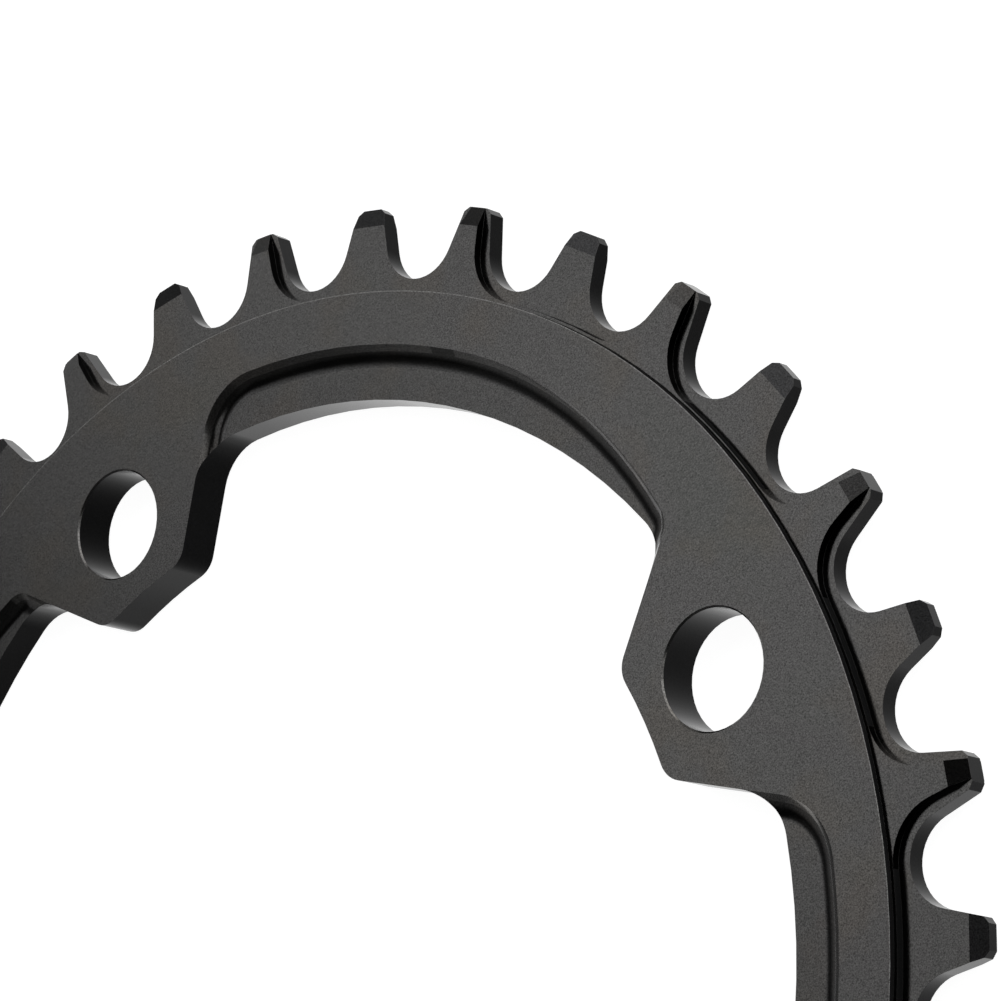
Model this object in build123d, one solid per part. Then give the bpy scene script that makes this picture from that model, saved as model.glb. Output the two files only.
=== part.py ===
"""Narrow-wide bicycle chainring with four bolt tabs, machined from one aluminium plate.

Millimetres. The ring lies flat: Z is its axis, z = 0 is the back face and the outer,
dressed face looks up. The bolt holes lie on the X and Y axes.
"""

import math
import os

from build123d import *

# Chain and teeth
TOOTH_COUNT = 34            # even, so that wide and narrow teeth alternate
CHAIN_PITCH = 12.7
SEAT_RADIUS = 3.97          # roller seat between two teeth
FLANK_ANGLE = 14.0          # lean of a tooth flank from the tooth's centre line
TIP_HEIGHT = 2.78           # tip circle above the pitch circle
TIP_CORNER_CHAMFER = 0.45
TOOTH_TIMING = 4.55         # angle from a bolt hole to the centre of the next wide tooth
TOOTH_MID_HEIGHT = 1.8      # middle plane of the teeth above the back face

NARROW_THICKNESS = 1.7
NARROW_TIP_THICKNESS = 1.0
NARROW_BEVEL_LENGTH = 1.65

WIDE_THICKNESS = 3.3
WIDE_TIP_THICKNESS = 1.8
WIDE_BEVEL_LENGTH = 1.8
PAD_OFFSET = 1.08           # set-back of a wide tooth's pad from the roller seat
PAD_FLANK_ANGLE = 8.0
PAD_SINK = 0.1              # how far a pad reaches into the plate below it

# Ring body
BODY_THICKNESS = 4.0
SHOULDER_DEPTH = 5.32       # shoulder of the thick body below the pitch circle

# Bolt tabs
BOLT_CIRCLE_DIAMETER = 104.0
TAB_COUNT = 4
BOLT_HOLE_DIAMETER = 10.3
BOLT_HOLE_BREAK = 0.15
TAB_END_REACH = 7.9         # from the bolt circle in to the end of a tab
TAB_HALF_WIDTH = 12.15      # half the width of a tab at the bolt circle
TAB_SIDE_ANGLE = 39.5       # lean of a tab side from the tab's centre line
TAB_CORNER_RADIUS = 2.5

# Ledge and pocket between two tabs
BAND_WIDTH = 4.9            # full-thickness band between the shoulder and a pocket
LEDGE_WIDTH = 4.85          # from the edge of a pocket in to the bore
BORE_FILLET_RADIUS = 5.0
POCKET_DEPTH = 0.95
POCKET_LEAD_RADIUS = 43.0   # tighter arc that leads the pocket edge in to a tab
POCKET_LEAD_FILLET = 2.5
POCKET_END_FILLET = 6.5
POCKET_COVE_RADIUS = 2.4    # hollow round from the edge of the pocket down to its floor
POCKET_COVE_STEPS = 3       # slopes that follow the hollow round

# Worked out from the driving sizes
PITCH_ANGLE = 360.0 / TOOTH_COUNT
PITCH_RADIUS = CHAIN_PITCH / (2.0 * math.sin(math.radians(PITCH_ANGLE / 2.0)))
TIP_RADIUS = PITCH_RADIUS + TIP_HEIGHT
SHOULDER_RADIUS = PITCH_RADIUS - SHOULDER_DEPTH
PAD_ARC_RADIUS = SEAT_RADIUS + PAD_OFFSET
RECESS_RADIUS = PITCH_RADIUS - PAD_ARC_RADIUS
BOLT_CIRCLE_RADIUS = BOLT_CIRCLE_DIAMETER / 2.0
TAB_END_RADIUS = BOLT_CIRCLE_RADIUS - TAB_END_REACH
POCKET_RADIUS = SHOULDER_RADIUS - BAND_WIDTH
BORE_RADIUS = POCKET_RADIUS - LEDGE_WIDTH
POCKET_INNER_RADIUS = (TAB_END_RADIUS + BORE_RADIUS) / 2.0
TAB_ANGLE = 360.0 / TAB_COUNT

# How far a solid reaches past the face where it is joined or cut
OVERLAP = 0.5


def on_circle(radius, angle):
    """Point at a radius and an angle in degrees about the ring axis."""
    return Vector(radius * math.cos(math.radians(angle)), radius * math.sin(math.radians(angle)))


def below(point):
    """The point mirrored in the X axis."""
    return Vector(point.X, -point.Y)


def upright_faces(solid):
    """Faces of a prism that stand along the ring axis."""
    return solid.faces().filter_by(Plane.XY, reverse=True)


def tooth_outline(arc_radius, flank_angle):
    """Sector of one pitch, with a tooth that points along X and runs past the tip circle.

    Each side is an arc about the roller centre half a pitch away, then a straight flank.
    """
    half_pitch = PITCH_ANGLE / 2.0
    roller = on_circle(PITCH_RADIUS, half_pitch)
    root_angle = 180.0 + half_pitch
    flank_start_angle = 270.0 - flank_angle
    foot = on_circle(SHOULDER_RADIUS - OVERLAP, half_pitch)
    root = roller + on_circle(arc_radius, root_angle)
    arc_middle = roller + on_circle(arc_radius, (root_angle + flank_start_angle) / 2.0)
    flank_start = roller + on_circle(arc_radius, flank_start_angle)
    flank_run = TIP_RADIUS + OVERLAP - flank_start.X
    flank_end = flank_start + Vector(flank_run, -flank_run * math.tan(math.radians(flank_angle)))
    return make_face([
        Line(foot, root),
        ThreePointArc(root, arc_middle, flank_start),
        Line(flank_start, flank_end),
        Line(flank_end, below(flank_end)),
        Line(below(flank_end), below(flank_start)),
        ThreePointArc(below(flank_start), below(arc_middle), below(root)),
        Line(below(root), below(foot)),
        Line(below(foot), foot),
    ])


def recess_land():
    """Sector of the thick ring that is left inside the recess of a narrow tooth."""
    inner = on_circle(SHOULDER_RADIUS - OVERLAP, PITCH_ANGLE / 2.0)
    outer = on_circle(RECESS_RADIUS, PITCH_ANGLE / 2.0)
    return make_face([
        Line(inner, outer),
        ThreePointArc(outer, Vector(RECESS_RADIUS, 0), below(outer)),
        Line(below(outer), below(inner)),
        Line(below(inner), inner),
    ])


def raised_layer(outline):
    """Layer that lifts a sector from the narrow to the wide thickness."""
    foot_height = NARROW_THICKNESS / 2.0 - PAD_SINK
    return extrude(Pos(Z=foot_height) * outline, WIDE_THICKNESS / 2.0 - foot_height)


def bevelled_blank(thickness, tip_thickness, bevel_length):
    """Envelope of a tooth seen from its side: its thickness and the bevels down to the tip."""
    slope = (thickness - tip_thickness) / (2.0 * bevel_length)
    root_radius = PITCH_RADIUS - SEAT_RADIUS
    bevel_start = TIP_RADIUS - bevel_length
    outside = TIP_RADIUS + OVERLAP
    upper = [
        (0.0, WIDE_THICKNESS),
        (root_radius, WIDE_THICKNESS),
        (root_radius, thickness / 2.0),
        (bevel_start, thickness / 2.0),
        (outside, thickness / 2.0 - slope * (outside - bevel_start)),
    ]
    lower = [(radius, -height) for radius, height in reversed(upper)]
    profile = Plane.XZ * make_face(Polyline(*upper, *lower, close=True))
    return extrude(profile, CHAIN_PITCH, both=True)


def tip_trim():
    """Prism of the tooth outline with its tip circle and broken tip corners."""
    outline = tooth_outline(SEAT_RADIUS, FLANK_ANGLE) & Circle(TIP_RADIUS)
    tip_corners = outline.vertices().group_by(Axis.X)[-1]
    return extrude(chamfer(tip_corners, TIP_CORNER_CHAMFER), BODY_THICKNESS, both=True)


def tooth(is_wide):
    """One tooth on its sector of the ring, centred on z = 0 and pointing along X."""
    if is_wide:
        layer = raised_layer(tooth_outline(PAD_ARC_RADIUS, PAD_FLANK_ANGLE))
        blank = bevelled_blank(WIDE_THICKNESS, WIDE_TIP_THICKNESS, WIDE_BEVEL_LENGTH)
    else:
        layer = raised_layer(recess_land())
        blank = bevelled_blank(NARROW_THICKNESS, NARROW_TIP_THICKNESS, NARROW_BEVEL_LENGTH)
    plate = extrude(tooth_outline(SEAT_RADIUS, FLANK_ANGLE), NARROW_THICKNESS / 2.0, both=True)
    return (plate + layer + layer.mirror(Plane.XY)) & blank & tip_trim()


def toothed_disc():
    """Solid disc of the ring body with all its teeth."""
    shapes = [tooth(True), tooth(False)]
    body = Cylinder(SHOULDER_RADIUS, BODY_THICKNESS, align=(Align.CENTER, Align.CENTER, Align.MIN))
    teeth = [
        Pos(Z=TOOTH_MID_HEIGHT) * Rot(Z=TOOTH_TIMING + index * PITCH_ANGLE) * shapes[index % 2]
        for index in range(TOOTH_COUNT)
    ]
    return body + teeth


def tab_outline():
    """Bolt tab along X: a wedge cut off by the arc of its inner end."""
    spread = math.tan(math.radians(TAB_SIDE_ANGLE))
    apex = BOLT_CIRCLE_RADIUS - TAB_HALF_WIDTH / spread
    root_half_width = spread * (SHOULDER_RADIUS - apex)
    wedge = make_face(Polyline(
        (apex, 0.0),
        (SHOULDER_RADIUS, root_half_width),
        (SHOULDER_RADIUS, -root_half_width),
        close=True,
    ))
    return wedge - Rot(Z=180.0) * Circle(TAB_END_RADIUS)


def opening_outline():
    """Outline of the through opening, with the tabs standing into it."""
    opening = Circle(BORE_RADIUS)
    for index in range(TAB_COUNT):
        opening -= Rot(Z=index * TAB_ANGLE) * tab_outline()
    tab_corners = opening.vertices().group_by(SortBy.DISTANCE)[0]
    opening = fillet(tab_corners, TAB_CORNER_RADIUS)
    bore_corners = opening.vertices().group_by(SortBy.DISTANCE)[-1]
    return fillet(bore_corners, BORE_FILLET_RADIUS)


def sector_outline(start_angle, end_angle):
    """Triangle from the ring axis out past the teeth, between two angles."""
    reach = 2.0 * TIP_RADIUS
    return make_face(Polyline(
        (0.0, 0.0),
        on_circle(reach, start_angle),
        on_circle(reach, end_angle),
        close=True,
    ))


def pocket_outline():
    """Front edge of the pocket between the tab on X and the next tab.

    The edge is concentric with the ring up to the middle of the pocket. From there a
    tighter arc, tangent to it, runs in to the tab on X.
    """
    middle = TAB_ANGLE / 2.0
    lead_centre = on_circle(POCKET_RADIUS - POCKET_LEAD_RADIUS, middle)
    lead = Pos(lead_centre) * Circle(POCKET_LEAD_RADIUS) & sector_outline(0.0, middle)
    concentric = Circle(POCKET_RADIUS) & sector_outline(middle, TAB_ANGLE)
    outline = lead + concentric - tab_outline() - Rot(Z=TAB_ANGLE) * tab_outline()
    outline -= Circle(POCKET_INNER_RADIUS)
    lead_corner = outline.vertices().sort_by(Axis.X)[-1]
    outline = fillet(lead_corner, POCKET_LEAD_FILLET)
    end_corner = outline.vertices().sort_by(Axis.Y)[-1]
    return fillet(end_corner, POCKET_END_FILLET)


def cove_point(step):
    """Distance from the cove's foot and height above the floor, some steps down from the edge."""
    edge_angle = math.acos(1.0 - POCKET_DEPTH / POCKET_COVE_RADIUS)
    angle = edge_angle * (1.0 - step / POCKET_COVE_STEPS)
    return POCKET_COVE_RADIUS * math.sin(angle), POCKET_COVE_RADIUS * (1.0 - math.cos(angle))


def cove_slope(outline, step):
    """One slope of the cove: the void below an outline, with its walls leaning inwards."""
    upper_reach, upper_height = cove_point(step)
    lower_reach, lower_height = cove_point(step + 1)
    drop = upper_height - lower_height
    prism = extrude(outline, drop, dir=(0.0, 0.0, -1.0))
    walls = upright_faces(prism).sort_by(SortBy.DISTANCE)[1:]  # all but the inner arc
    lean = math.degrees(math.atan2(upper_reach - lower_reach, drop))
    return draft(walls, Plane.XY.offset(outline.center().Z), -lean)


def pocket_cutter():
    """Void of one pocket: a cove all round the edge, down to a flat floor."""
    outline = Pos(Z=BODY_THICKNESS) * pocket_outline()
    slopes = []
    for step in range(POCKET_COVE_STEPS):
        slope = cove_slope(outline, step)
        slopes.append(slope)
        outline = slope.faces().sort_by(Axis.Z)[0]
    return slopes[0].fuse(*slopes[1:])


def bolt_hole_cutter():
    """Bolt hole on the X axis, with the broken edge of its front rim."""
    radius = BOLT_HOLE_DIAMETER / 2.0
    profile = make_face(Polyline(
        (0.0, 0.0),
        (radius, 0.0),
        (radius, BODY_THICKNESS - BOLT_HOLE_BREAK),
        (radius + BOLT_HOLE_BREAK, BODY_THICKNESS),
        (0.0, BODY_THICKNESS),
        close=True,
    ))
    return Pos(X=BOLT_CIRCLE_RADIUS) * revolve(Plane.XZ * profile, Axis.Z)


def chainring():
    """The whole ring: toothed disc, less its opening, pockets and bolt holes."""
    ring = toothed_disc() - extrude(opening_outline(), BODY_THICKNESS)
    pocket = pocket_cutter()
    hole = bolt_hole_cutter()
    for index in range(TAB_COUNT):
        turn = Rot(Z=index * TAB_ANGLE)
        ring -= turn * pocket
        ring -= turn * hole
    return ring


os.makedirs("parts", exist_ok=True)
export_step(chainring(), "parts/chainring.step")
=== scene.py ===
"""Looks of the narrow-wide chainring: black anodised, bead-blasted aluminium on a white floor."""
import math

import bpy
from mathutils import Matrix, Vector

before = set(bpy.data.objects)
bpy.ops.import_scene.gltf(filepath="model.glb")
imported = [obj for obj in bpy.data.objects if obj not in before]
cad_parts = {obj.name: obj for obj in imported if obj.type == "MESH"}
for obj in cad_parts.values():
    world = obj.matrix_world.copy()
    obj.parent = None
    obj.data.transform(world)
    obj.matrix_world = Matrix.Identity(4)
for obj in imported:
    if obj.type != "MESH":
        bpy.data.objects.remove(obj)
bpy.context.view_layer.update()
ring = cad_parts["chainring"]

# Camera of the photograph, in metres and in the frame of the part
CAMERA_PLACE = (0.20216, -0.15056, 0.26707)
CAMERA_RIGHT = (0.67844, -0.34353, -0.64939)
CAMERA_UP = (0.57597, 0.79743, 0.17990)
CAMERA_BACK = (0.45604, -0.49608, 0.73887)
CAMERA_CLIP = (0.01, 50.0)
SENSOR_WIDTH = 36.0
LENS = 148.76

# Edges of the machined ring: widths in metres, angles in degrees
WELD_DISTANCE = 0.000002
FLAT_ANGLE = 0.2            # faces flatter than this become one
EDGE_WIDTH = 0.00011        # the overlap guard of the bevel keeps it smaller
EDGE_SEGMENTS = 2
EDGE_ANGLE = 30.0           # edges that are broken
RIDGE_ANGLE = 10.0          # outward edges that stay crisp
HOLLOW_ANGLE = 30.0         # inward edges that stay crisp

# Places on the ring that have their own look
SHOULDER_RADIUS = 0.0635
SHOULDER_MARGIN = 0.0003
HIGHLIGHT_WIDTH = 0.00012        # painted highlight line on the face along the shoulder edge
RIM_LEVEL = 0.0038          # only the front face and its rims are higher
RIM_FADE = 0.0001
RIM_ANGLE = 45.0
RIM_MARGIN = 0.05
POCKET_RADIUS = 0.0578
POCKET_LEVEL = 0.0032
POCKET_FADE = 0.0003
# slot of the hole rims, coloured with a painted highlight
HIGHLIGHT_SLOT = 1
# slot of the shoulder wall, coloured with painted shade
SHADED_WALL_SLOT = 2

# How far up the normal points, from 0 on a wall to 1 on a flat face
UPRIGHT_LIMIT = 0.3
FACE_START = (0.15, 0.45)
TIP_START = (0.94, 0.965)
TIP_END = (0.982, 0.995)
POCKET_START = (0.5, 0.9)

# Anodised finish, with some colours that are painted shade and painted highlights
FACE_COLOR = (0.0470, 0.0465, 0.0458, 1.0)
# painted shade: walls get a near-black colour where they face away from the light
WALL_SHADE_COLOR = (0.0035, 0.0035, 0.0036, 1.0)
# painted shade: tip bevels get a darker colour than the face
TIP_SHADE_COLOR = (0.0270, 0.0270, 0.0275, 1.0)
# painted highlight: light colour of the line along the shoulder edge and of the hole rims
EDGE_HIGHLIGHT_COLOR = (0.1000, 0.0985, 0.0965, 1.0)
# painted shade: near-black colour of the shoulder's upright wall
SHOULDER_SHADE_COLOR = (0.0050, 0.0050, 0.0052, 1.0)
WARM_TINT = (1.04, 1.00, 0.95, 1.0)
# painted shade: pocket floors darkened to this share of their colour
POCKET_SHADE = 0.88
FACE_ROUGHNESS = (0.13, 0.20)
WALL_ROUGHNESS = (0.16, 0.24)
MATT_ROUGHNESS = (0.6, 0.8)
MATT_SPECULAR = 0.1
NOISE_SPAN = (0.25, 0.75)   # where most values of a noise lie
GRAIN_SCALE = 7900.0
GRAIN_DETAIL = 2.0
GRAIN_ROUGHNESS = 0.6
GRAIN_SHADES = (0.35, 1.65)
GRAIN_TURN = (0.6, 0.4, 0.2)   # keeps the flat faces off the planes of the noise lattice
MOTTLE_SCALE = 130.0
MOTTLE_DETAIL = 3.0
MOTTLE_SHADES = (0.95, 1.05)
PATCH_SCALE = 150.0
PATCH_DETAIL = 2.0
PATCH_SPAN = (0.48, 0.66)
BUMP_HEIGHT = 0.00001
BUMP_STRENGTH = 0.15

# Floor
FLOOR_HEIGHT = -0.0002
FLOOR_RADIUS = 6.0
FLOOR_SIDES = 96
FLOOR_COLOR = (0.28, 0.28, 0.28, 1.0)
FLOOR_GLOW = 0.95
WHITE = (1.0, 1.0, 1.0, 1.0)

# Key light
LIT_SPOT = Vector((0.040, 0.030, 0.004))
KEY_DIRECTION = (-0.42, 0.36, 0.83)
KEY_DISTANCE = 0.60
KEY_SIZE = 0.20
KEY_POWER = 0.035

# Sky: brightness of its parts, and the spans of direction in which each part fades
CEILING_LEVEL = 0.03
LIGHT_LEVEL = 1.66
LIGHT_SLANT = 0.25
LIGHT_NEAR_EDGE = (0.33, 0.53)
LIGHT_LEFT_EDGE = (-0.62, -0.45)
LIGHT_LEFT_SHARE = 0.12
LIGHT_RIGHT_EDGE = (0.05, 0.50)
LIGHT_RIGHT_SHARE = 0.25
LIGHT_LOWER_EDGE = (0.46, 0.66)
PANEL_LEVEL = 2.0
PANEL_X = (0.45, 0.62)
PANEL_Y = (-0.30, -0.10)
PANEL_Z = (0.72, 0.85)
WALLS_LEVELS = (0.06, 0.45)
WALLS_Y = (-0.5, 0.3)
WALLS_Z = (0.30, 0.60)
FILL_LEFT_LEVEL = 0.12
FILL_LEFT_EDGE = (-0.60, -0.35)
FILL_GAP_LEVEL = 0.06
FILL_RIGHT_LEVEL = 0.90
FILL_RIGHT_EDGE = (0.42, 0.60)
FILL_Y = (-0.15, 0.05)
TOP_LEVEL = 1.20
TOP_Z = (0.974, 0.990)

RISING = (0.0, 1.0)
FALLING = (1.0, 0.0)


def node(tree, kind, **values):
    """A node with its properties set."""
    made = tree.nodes.new(kind)
    for name, value in values.items():
        setattr(made, name, value)
    return made


def noise(tree, coords, scale, detail, rough=0.5):
    """Noise texture on given coordinates, with its factor output."""
    made = node(tree, "ShaderNodeTexNoise")
    made.inputs["Scale"].default_value = scale
    made.inputs["Detail"].default_value = detail
    made.inputs["Roughness"].default_value = rough
    tree.links.new(coords, made.inputs["Vector"])
    return made.outputs["Fac"]


def remap(tree, value, span, levels, interpolation="LINEAR"):
    """The value moved from a span to two levels, and clamped."""
    made = node(tree, "ShaderNodeMapRange", interpolation_type=interpolation)
    made.inputs["From Min"].default_value, made.inputs["From Max"].default_value = span
    made.inputs["To Min"].default_value, made.inputs["To Max"].default_value = levels
    tree.links.new(value, made.inputs["Value"])
    return made.outputs["Result"]


def soft_step(tree, value, span, levels):
    """The value moved from a span to two levels, with soft ends."""
    return remap(tree, value, span, levels, "SMOOTHSTEP")


def mix_color(tree, factor, first, second):
    """Mix of two colours, each a constant or a socket."""
    made = node(tree, "ShaderNodeMix", data_type="RGBA")
    tree.links.new(factor, made.inputs["Factor"])
    for name, value in (("A", first), ("B", second)):
        socket = [s for s in made.inputs if s.name == name and s.type == "RGBA"][0]
        if isinstance(value, tuple):
            socket.default_value = value
        else:
            tree.links.new(value, socket)
    return [s for s in made.outputs if s.type == "RGBA"][0]


def math_node(tree, operation, first, second=0.0):
    """A math node on one or two values, each a constant or a socket."""
    made = node(tree, "ShaderNodeMath", operation=operation)
    for index, value in enumerate((first, second)):
        if isinstance(value, float):
            made.inputs[index].default_value = value
        else:
            tree.links.new(value, made.inputs[index])
    return made.outputs[0]


def chain(tree, operation, first, *others):
    """One math operation over several values, from left to right."""
    result = first
    for value in others:
        result = math_node(tree, operation, result, value)
    return result


def product(tree, *values):
    """Product of several values."""
    return chain(tree, "MULTIPLY", *values)


def split_vector(tree, vector):
    """X, Y and Z of a vector socket."""
    split = node(tree, "ShaderNodeSeparateXYZ")
    tree.links.new(vector, split.inputs[0])
    return [split.outputs[name] for name in "XYZ"]


def axis_distance(tree, x, y):
    """Distance from the axis of the ring."""
    squares = math_node(tree, "ADD", product(tree, x, x), product(tree, y, y))
    return math_node(tree, "POWER", squares, 0.5)


def new_material(name):
    """An empty principled material: itself, its node tree, its shader and its object coordinates."""
    material = bpy.data.materials.new(name)
    material.use_nodes = True
    tree = material.node_tree
    coords = node(tree, "ShaderNodeTexCoord").outputs["Object"]
    return material, tree, tree.nodes["Principled BSDF"], coords


def anodised_material(name, face_color):
    """Black anodising: blasted grain all over, warm patches, a painted highlight line along the shoulder edge,
    and painted shade on walls, tip bevels and pocket floors.
    """
    material, tree, shader, coords = new_material(name)
    x, y, height = split_vector(tree, coords)
    radius = axis_distance(tree, x, y)
    true_normal = node(tree, "ShaderNodeNewGeometry").outputs["True Normal"]
    upward = split_vector(tree, true_normal)[2]
    level = math_node(tree, "ABSOLUTE", upward)

    is_face = remap(tree, level, FACE_START, RISING)
    # painted shade mask on the tip bevels
    is_shaded_tip = product(tree, remap(tree, level, TIP_START, RISING), remap(tree, level, TIP_END, FALLING))
    # painted shade mask on the floors of the pockets
    is_shaded_pocket = product(tree,
                        remap(tree, radius, (POCKET_RADIUS, POCKET_RADIUS + POCKET_FADE), FALLING),
                        remap(tree, height, (POCKET_LEVEL, POCKET_LEVEL + POCKET_FADE), FALLING),
                        remap(tree, upward, POCKET_START, RISING))
    # painted highlight mask: a thin line on the front face along the shoulder edge
    highlight_span = (SHOULDER_RADIUS - HIGHLIGHT_WIDTH, SHOULDER_RADIUS - 0.5 * HIGHLIGHT_WIDTH)
    is_highlight = product(tree,
                      remap(tree, radius, highlight_span, RISING),
                      remap(tree, height, (RIM_LEVEL, RIM_LEVEL + RIM_FADE), RISING))

    turn = node(tree, "ShaderNodeMapping")
    turn.inputs["Rotation"].default_value = GRAIN_TURN
    tree.links.new(coords, turn.inputs["Vector"])
    turned = turn.outputs["Vector"]
    grain = noise(tree, turned, GRAIN_SCALE, GRAIN_DETAIL, GRAIN_ROUGHNESS)
    mottle = noise(tree, turned, MOTTLE_SCALE, MOTTLE_DETAIL)
    patches = noise(tree, turned, PATCH_SCALE, PATCH_DETAIL)

    warm_color = tuple(c * w for c, w in zip(face_color, WARM_TINT))
    base = mix_color(tree, remap(tree, patches, PATCH_SPAN, RISING), face_color, warm_color)
    base = mix_color(tree, is_shaded_tip, base, TIP_SHADE_COLOR)
    # painted highlight along the shoulder edge
    base = mix_color(tree, is_highlight, base, EDGE_HIGHLIGHT_COLOR)
    # painted shade: walls take the near-black wall colour instead of the face colour
    base = mix_color(tree, is_face, WALL_SHADE_COLOR, base)
    shade = product(tree,
                    remap(tree, grain, NOISE_SPAN, GRAIN_SHADES),
                    remap(tree, mottle, NOISE_SPAN, MOTTLE_SHADES),
                    remap(tree, is_shaded_pocket, RISING, (1.0, POCKET_SHADE)))
    shaded = node(tree, "ShaderNodeVectorMath", operation="SCALE")
    tree.links.new(base, shaded.inputs[0])
    tree.links.new(shade, shaded.inputs["Scale"])
    tree.links.new(shaded.outputs[0], shader.inputs["Base Color"])

    rough = node(tree, "ShaderNodeMix", data_type="FLOAT")
    tree.links.new(is_face, rough.inputs["Factor"])
    tree.links.new(remap(tree, mottle, NOISE_SPAN, WALL_ROUGHNESS), rough.inputs["A"])
    tree.links.new(remap(tree, mottle, NOISE_SPAN, FACE_ROUGHNESS), rough.inputs["B"])
    tree.links.new(rough.outputs["Result"], shader.inputs["Roughness"])

    bump = node(tree, "ShaderNodeBump")
    bump.inputs["Distance"].default_value = BUMP_HEIGHT
    bump.inputs["Strength"].default_value = BUMP_STRENGTH
    tree.links.new(grain, bump.inputs["Height"])
    tree.links.new(bump.outputs[0], shader.inputs["Normal"])
    shader.inputs["Metallic"].default_value = 1.0
    return material


def matt_shaded_material(name):
    """Matt black of the shoulder's milled wall, whose near-black colour is painted shade."""
    material, tree, shader, coords = new_material(name)
    grain = noise(tree, coords, GRAIN_SCALE, GRAIN_DETAIL)
    tree.links.new(mix_color(tree, grain, SHOULDER_SHADE_COLOR, WALL_SHADE_COLOR), shader.inputs["Base Color"])
    tree.links.new(remap(tree, grain, NOISE_SPAN, MATT_ROUGHNESS), shader.inputs["Roughness"])
    shader.inputs["Specular IOR Level"].default_value = MATT_SPECULAR
    return material


def hole_rims(tree):
    """Selects the broken rims of the bolt holes on the front face."""
    height = split_vector(tree, node(tree, "GeometryNodeInputPosition").outputs[0])[2]
    upward = split_vector(tree, node(tree, "GeometryNodeInputNormal").outputs[0])[2]
    slope = math_node(tree, "SUBTRACT", upward, math.cos(math.radians(RIM_ANGLE)))
    is_sloped = math_node(tree, "LESS_THAN", math_node(tree, "ABSOLUTE", slope), RIM_MARGIN)
    return product(tree, is_sloped, math_node(tree, "GREATER_THAN", height, RIM_LEVEL))


def shoulder_wall(tree):
    """Selects the upright wall between the face and the teeth."""
    x, y, _ = split_vector(tree, node(tree, "GeometryNodeInputPosition").outputs[0])
    upward = split_vector(tree, node(tree, "GeometryNodeInputNormal").outputs[0])[2]
    offset = math_node(tree, "SUBTRACT", axis_distance(tree, x, y), SHOULDER_RADIUS)
    is_near = math_node(tree, "LESS_THAN", math_node(tree, "ABSOLUTE", offset), SHOULDER_MARGIN)
    is_upright = math_node(tree, "LESS_THAN", math_node(tree, "ABSOLUTE", upward), UPRIGHT_LIMIT)
    return product(tree, is_upright, is_near)


def crisp_edges():
    """Node group: smooth shading with crisp edges, and the slots of the shoulder wall's painted shade and the
    hole rims' painted highlight.
    """
    tree = bpy.data.node_groups.new("crisp_edges", "GeometryNodeTree")
    tree.interface.new_socket("Geometry", in_out="INPUT", socket_type="NodeSocketGeometry")
    tree.interface.new_socket("Geometry", in_out="OUTPUT", socket_type="NodeSocketGeometry")
    angle = node(tree, "GeometryNodeInputMeshEdgeAngle").outputs["Signed Angle"]
    ridge = math_node(tree, "GREATER_THAN", angle, math.radians(RIDGE_ANGLE))
    hollow = math_node(tree, "LESS_THAN", angle, -math.radians(HOLLOW_ANGLE))

    smooth_faces = node(tree, "GeometryNodeSetShadeSmooth", domain="FACE")
    smooth_edges = node(tree, "GeometryNodeSetShadeSmooth", domain="EDGE")
    crisp = node(tree, "GeometryNodeSetShadeSmooth", domain="EDGE")
    crisp.inputs["Shade Smooth"].default_value = False
    tree.links.new(math_node(tree, "MAXIMUM", ridge, hollow), crisp.inputs["Selection"])
    steps = [smooth_faces, smooth_edges, crisp]
    for slot, selection in ((SHADED_WALL_SLOT, shoulder_wall(tree)), (HIGHLIGHT_SLOT, hole_rims(tree))):
        step = node(tree, "GeometryNodeSetMaterialIndex")
        step.inputs["Material Index"].default_value = slot
        tree.links.new(selection, step.inputs["Selection"])
        steps.append(step)

    geometry = node(tree, "NodeGroupInput").outputs[0]
    for step in steps:
        tree.links.new(geometry, step.inputs["Geometry"])
        geometry = step.outputs[0]
    tree.links.new(geometry, node(tree, "NodeGroupOutput").inputs[0])
    return tree


def break_edges(obj):
    """Weld the imported faces, set which edges are crisp and break the sharp ones a little."""
    weld = obj.modifiers.new("weld", "WELD")
    weld.merge_threshold = WELD_DISTANCE
    shading = obj.modifiers.new("shading", "NODES")
    shading.node_group = crisp_edges()
    flats = obj.modifiers.new("flats", "DECIMATE")
    flats.decimate_type = "DISSOLVE"
    flats.angle_limit = math.radians(FLAT_ANGLE)
    flats.use_dissolve_boundaries = False
    bevel = obj.modifiers.new("edges", "BEVEL")
    bevel.width = EDGE_WIDTH
    bevel.segments = EDGE_SEGMENTS
    bevel.limit_method = "ANGLE"
    bevel.angle_limit = math.radians(EDGE_ANGLE)
    bevel.use_clamp_overlap = True
    normals = obj.modifiers.new("normals", "WEIGHTED_NORMAL")
    normals.keep_sharp = True


def white_floor():
    """White floor, mostly its own glow, so that the shadow on it is light."""
    bpy.ops.mesh.primitive_circle_add(vertices=FLOOR_SIDES, radius=FLOOR_RADIUS, fill_type="NGON",
                                      location=(0.0, 0.0, FLOOR_HEIGHT))
    floor = bpy.context.object
    floor.name = "floor"
    material = bpy.data.materials.new("white_floor")
    material.use_nodes = True
    shader = material.node_tree.nodes["Principled BSDF"]
    shader.inputs["Base Color"].default_value = FLOOR_COLOR
    shader.inputs["Roughness"].default_value = 1.0
    shader.inputs["Specular IOR Level"].default_value = 0.0
    shader.inputs["Emission Color"].default_value = WHITE
    shader.inputs["Emission Strength"].default_value = FLOOR_GLOW
    floor.data.materials.append(material)


def key_light():
    """Square soft box that looks at the lit spot."""
    data = bpy.data.lights.new("key", "AREA")
    data.shape = "SQUARE"
    data.size = KEY_SIZE
    data.energy = KEY_POWER
    lamp = bpy.data.objects.new("key", data)
    toward = Vector(KEY_DIRECTION).normalized()
    lamp.location = LIT_SPOT + toward * KEY_DISTANCE
    lamp.rotation_mode = "QUATERNION"
    lamp.rotation_quaternion = toward.to_track_quat("Z", "Y")
    bpy.context.scene.collection.objects.link(lamp)


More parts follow.
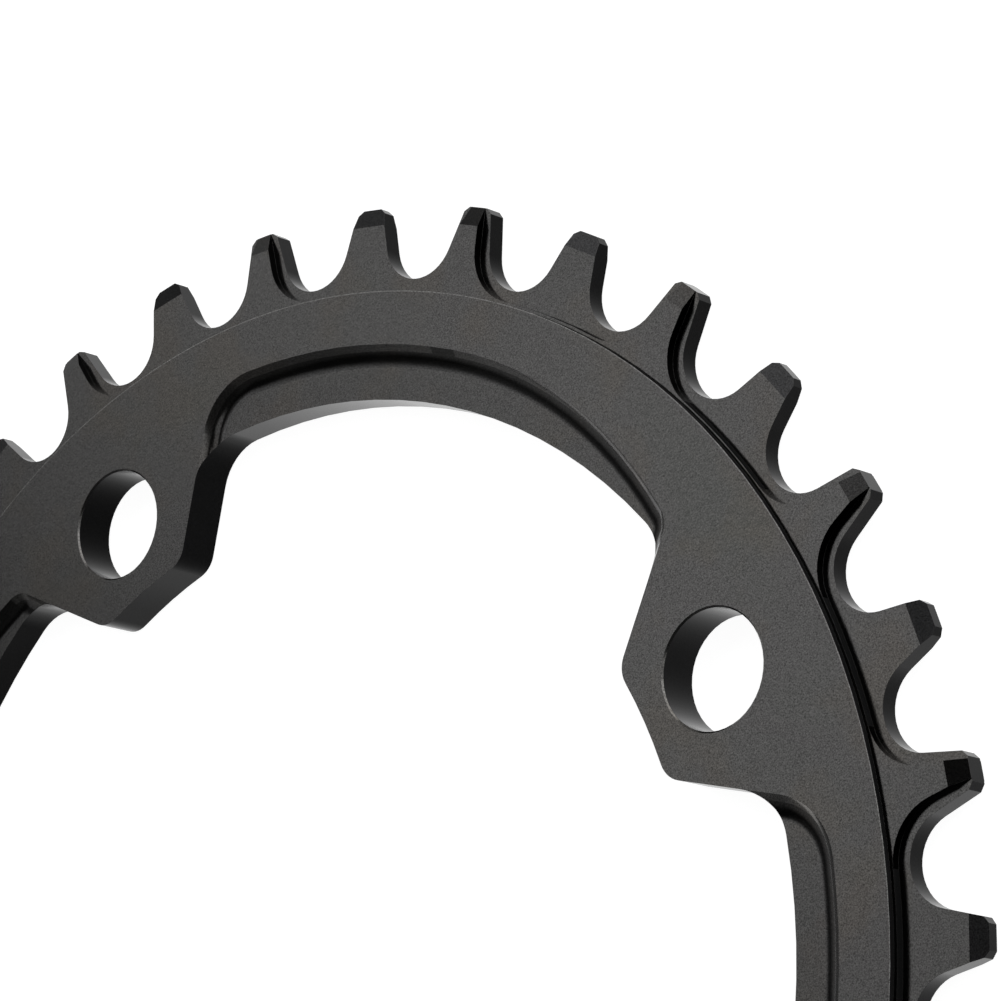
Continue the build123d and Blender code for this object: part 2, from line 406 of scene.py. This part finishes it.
def studio_world():
    """A large soft light high at +Y, a low panel at +X, dim walls, a fill at -Y and a light straight above."""
    world = bpy.data.worlds.new("studio")
    bpy.context.scene.world = world
    world.use_nodes = True
    tree = world.node_tree
    x, y, z = split_vector(tree, node(tree, "ShaderNodeTexCoord").outputs["Generated"])

    slanted = math_node(tree, "SUBTRACT", y, product(tree, x, LIGHT_SLANT))
    light = product(tree,
                    soft_step(tree, slanted, LIGHT_NEAR_EDGE, RISING),
                    soft_step(tree, x, LIGHT_LEFT_EDGE, (LIGHT_LEFT_SHARE, 1.0)),
                    soft_step(tree, x, LIGHT_RIGHT_EDGE, (1.0, LIGHT_RIGHT_SHARE)),
                    soft_step(tree, z, LIGHT_LOWER_EDGE, RISING))
    light = remap(tree, light, RISING, (CEILING_LEVEL, LIGHT_LEVEL))
    panel = product(tree,
                    soft_step(tree, x, PANEL_X, (0.0, PANEL_LEVEL)),
                    soft_step(tree, y, PANEL_Y, RISING),
                    soft_step(tree, z, PANEL_Z, FALLING))
    walls = product(tree,
                    soft_step(tree, y, WALLS_Y, WALLS_LEVELS),
                    soft_step(tree, z, WALLS_Z, FALLING))
    fill_sides = math_node(tree, "MAXIMUM",
                           soft_step(tree, x, FILL_LEFT_EDGE, (FILL_LEFT_LEVEL, FILL_GAP_LEVEL)),
                           soft_step(tree, x, FILL_RIGHT_EDGE, (FILL_GAP_LEVEL, FILL_RIGHT_LEVEL)))
    fill = product(tree, soft_step(tree, y, FILL_Y, FALLING), fill_sides)
    top = soft_step(tree, z, TOP_Z, (0.0, TOP_LEVEL))

    background = tree.nodes["Background"]
    background.inputs["Color"].default_value = WHITE
    level = chain(tree, "MAXIMUM", light, panel, walls, fill, top)
    tree.links.new(level, background.inputs["Strength"])


def photo_camera():
    """Camera at the place, turn and framing of the photograph."""
    data = bpy.data.cameras.new("camera")
    data.sensor_width = SENSOR_WIDTH
    data.lens = LENS
    data.clip_start, data.clip_end = CAMERA_CLIP
    camera = bpy.data.objects.new("camera", data)
    turn = Matrix((CAMERA_RIGHT, CAMERA_UP, CAMERA_BACK)).transposed()
    camera.matrix_world = Matrix.Translation(CAMERA_PLACE) @ turn.to_4x4()
    bpy.context.scene.collection.objects.link(camera)
    bpy.context.scene.camera = camera


ring.data.materials.clear()
ring.data.materials.append(anodised_material("black_anodised", FACE_COLOR))
# hole rims: material in the painted highlight colour
ring.data.materials.append(anodised_material("rim_painted_highlight", EDGE_HIGHLIGHT_COLOR))
# shoulder wall: matt material in a painted shade colour
ring.data.materials.append(matt_shaded_material("matt_shoulder_painted_shade"))
break_edges(ring)
white_floor()
studio_world()
key_light()
photo_camera()
bpy.context.scene.view_settings.view_transform = "Standard"
